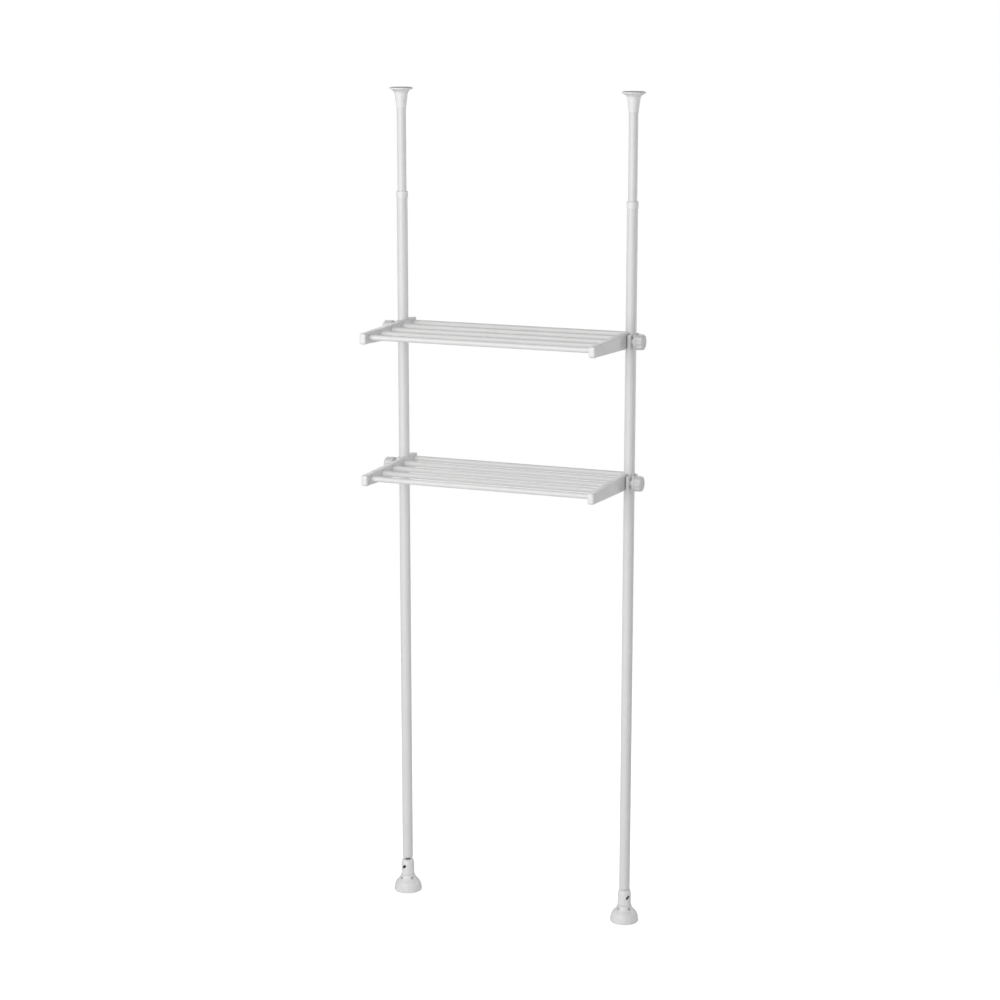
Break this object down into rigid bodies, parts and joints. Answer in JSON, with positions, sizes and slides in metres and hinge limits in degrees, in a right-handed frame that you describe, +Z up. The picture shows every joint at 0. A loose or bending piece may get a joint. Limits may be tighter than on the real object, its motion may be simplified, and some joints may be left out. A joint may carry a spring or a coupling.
{
  "type": "bathroom storage rack",
  "caption": "Floor-to-ceiling storage rack: telescopic poles on screw feet carry height-adjustable shelves of round rails, held by fluted clamp knobs.",
  "frame": {"origin": "on the floor, at the middle of the rack's width and of its depth (bounding box bottom centre)", "axes": "+Z up along the poles, -Y towards the front (the shelves' free edge), +X to the right seen from the front"},
  "size_m": [0.6698, 0.3108, 2.05],
  "materials": {
    "white_coated_steel": "white powder coat, satin gloss",
    "white_plastic": "white moulded plastic",
    "grey_plastic": "light grey moulded plastic",
    "pale_rubber": "grey rubber",
    "dark_steel": "blackened steel",
    "plated_steel": "zinc plated steel"
  },
  "bodies": {
    "uprights": {"lower_pole_left": "white_coated_steel", "lock_collet_left": "grey_plastic", "jack_plug_left": "white_plastic", "jack_spindle_left": "dark_steel", "lower_pole_right": "white_coated_steel", "lock_collet_right": "grey_plastic", "jack_plug_right": "white_plastic", "jack_spindle_right": "dark_steel"},
    "extension_left": {"upper_pole_left": "white_coated_steel", "pole_bush_left": "grey_plastic", "ceiling_pad_left": "white_plastic", "ceiling_grip_left": "pale_rubber"},
    "lock_left": {"lock_collar_left": "white_plastic"},
    "foot_left": {"foot_left": "white_plastic", "foot_sole_left": "pale_rubber"},
    "grip_left": {"jack_grip_left": "white_plastic"},
    "extension_right": {"upper_pole_right": "white_coated_steel", "pole_bush_right": "grey_plastic", "ceiling_pad_right": "white_plastic", "ceiling_grip_right": "pale_rubber"},
    "lock_right": {"lock_collar_right": "white_plastic"},
    "foot_right": {"foot_right": "white_plastic", "foot_sole_right": "pale_rubber"},
    "grip_right": {"jack_grip_right": "white_plastic"},
    "upper_shelf": {"rail_upper_1": "white_coated_steel", "rail_upper_2": "white_coated_steel", "rail_upper_3": "white_coated_steel", "rail_upper_4": "white_coated_steel", "rail_upper_5": "white_coated_steel", "arm_upper_left": "white_plastic", "arm_cap_upper_left": "white_plastic", "clamp_stud_upper_left": "plated_steel", "arm_upper_right": "white_plastic", "arm_cap_upper_right": "white_plastic", "clamp_stud_upper_right": "plated_steel"},
    "upper_jaw_left": {"clamp_jaw_upper_left": "white_plastic", "clamp_liner_upper_left": "pale_rubber"},
    "upper_knob_left": {"clamp_knob_upper_left": "grey_plastic"},
    "upper_jaw_right": {"clamp_jaw_upper_right": "white_plastic", "clamp_liner_upper_right": "pale_rubber"},
    "upper_knob_right": {"clamp_knob_upper_right": "grey_plastic"},
    "lower_shelf": {"rail_lower_1": "white_coated_steel", "rail_lower_2": "white_coated_steel", "rail_lower_3": "white_coated_steel", "rail_lower_4": "white_coated_steel", "rail_lower_5": "white_coated_steel", "arm_lower_left": "white_plastic", "arm_cap_lower_left": "white_plastic", "clamp_stud_lower_left": "plated_steel", "arm_lower_right": "white_plastic", "arm_cap_lower_right": "white_plastic", "clamp_stud_lower_right": "plated_steel"},
    "lower_jaw_left": {"clamp_jaw_lower_left": "white_plastic", "clamp_liner_lower_left": "pale_rubber"},
    "lower_knob_left": {"clamp_knob_lower_left": "grey_plastic"},
    "lower_jaw_right": {"clamp_jaw_lower_right": "white_plastic", "clamp_liner_lower_right": "pale_rubber"},
    "lower_knob_right": {"clamp_knob_lower_right": "grey_plastic"}
  },
  "joints": [
    {"name": "pole_extension_left", "type": "slide", "parent": "uprights", "child": "extension_left", "axis": [0, 0, 1], "range_m": [-0.18, 0.2]},
    {"name": "pole_lock_left", "type": "hinge", "parent": "uprights", "child": "lock_left", "pos_m": [-0.294, 0.1094, 1.7942], "axis": [0, 0, 1], "range_deg": [0, 90]},
    {"name": "foot_travel_left", "type": "slide", "parent": "uprights", "child": "foot_left", "axis": [0, 0, -1], "range_m": [-0.0056, 0.024]},
    {"name": "jack_turn_left", "type": "hinge", "parent": "foot_left", "child": "grip_left", "pos_m": [-0.294, 0.1094, 0.0433], "axis": [0, 0, -1], "range_deg": [-504.05, 2160.05]},
    {"name": "pole_extension_right", "type": "slide", "parent": "uprights", "child": "extension_right", "axis": [0, 0, 1], "range_m": [-0.18, 0.2]},
    {"name": "pole_lock_right", "type": "hinge", "parent": "uprights", "child": "lock_right", "pos_m": [0.294, 0.1094, 1.7886], "axis": [0, 0, 1], "range_deg": [0, 90]},
    {"name": "foot_travel_right", "type": "slide", "parent": "uprights", "child": "foot_right", "axis": [0, 0, -1], "range_m": [0, 0.024]},
    {"name": "jack_turn_right", "type": "hinge", "parent": "foot_right", "child": "grip_right", "pos_m": [0.294, 0.1094, 0.0433], "axis": [0, 0, -1], "range_deg": [0, 2160.05]},
    {"name": "upper_shelf_height", "type": "slide", "parent": "uprights", "child": "upper_shelf", "axis": [0, 0, 1], "range_m": [-0.14, 0.26]},
    {"name": "upper_jaw_slide_left", "type": "slide", "parent": "upper_shelf", "child": "upper_jaw_left", "axis": [-1, 0, 0], "range_m": [0, 0.0025]},
    {"name": "upper_knob_turn_left", "type": "hinge", "parent": "upper_jaw_left", "child": "upper_knob_left", "pos_m": [-0.3115, 0.0884, 1.467], "axis": [-1, 0, 0], "range_deg": [0, 360.05]},
    {"name": "upper_jaw_slide_right", "type": "slide", "parent": "upper_shelf", "child": "upper_jaw_right", "axis": [1, 0, 0], "range_m": [0, 0.0025]},
    {"name": "upper_knob_turn_right", "type": "hinge", "parent": "upper_jaw_right", "child": "upper_knob_right", "pos_m": [0.3115, 0.0884, 1.467], "axis": [1, 0, 0], "range_deg": [0, 360.05]},
    {"name": "lower_shelf_height", "type": "slide", "parent": "uprights", "child": "lower_shelf", "axis": [0, 0, 1], "range_m": [-0.88, 0.14]},
    {"name": "lower_jaw_slide_left", "type": "slide", "parent": "lower_shelf", "child": "lower_jaw_left", "axis": [-1, 0, 0], "range_m": [0, 0.0025]},
    {"name": "lower_knob_turn_left", "type": "hinge", "parent": "lower_jaw_left", "child": "lower_knob_left", "pos_m": [-0.3115, 0.0884, 1.125], "axis": [-1, 0, 0], "range_deg": [0, 360.05]},
    {"name": "lower_jaw_slide_right", "type": "slide", "parent": "lower_shelf", "child": "lower_jaw_right", "axis": [1, 0, 0], "range_m": [0, 0.0025]},
    {"name": "lower_knob_turn_right", "type": "hinge", "parent": "lower_jaw_right", "child": "lower_knob_right", "pos_m": [0.3115, 0.0884, 1.125], "axis": [1, 0, 0], "range_deg": [0, 360.05]}
  ],
  "couplings": [
    {"joint": "jack_turn_left", "follows": "foot_travel_left", "rad_per_m": 1570.8},
    {"joint": "jack_turn_right", "follows": "foot_travel_right", "rad_per_m": 1570.8},
    {"joint": "upper_knob_turn_left", "follows": "upper_jaw_slide_left", "rad_per_m": 2513.3},
    {"joint": "upper_knob_turn_right", "follows": "upper_jaw_slide_right", "rad_per_m": 2513.3},
    {"joint": "lower_knob_turn_left", "follows": "lower_jaw_slide_left", "rad_per_m": 2513.3},
    {"joint": "lower_knob_turn_right", "follows": "lower_jaw_slide_right", "rad_per_m": 2513.3}
  ]
}
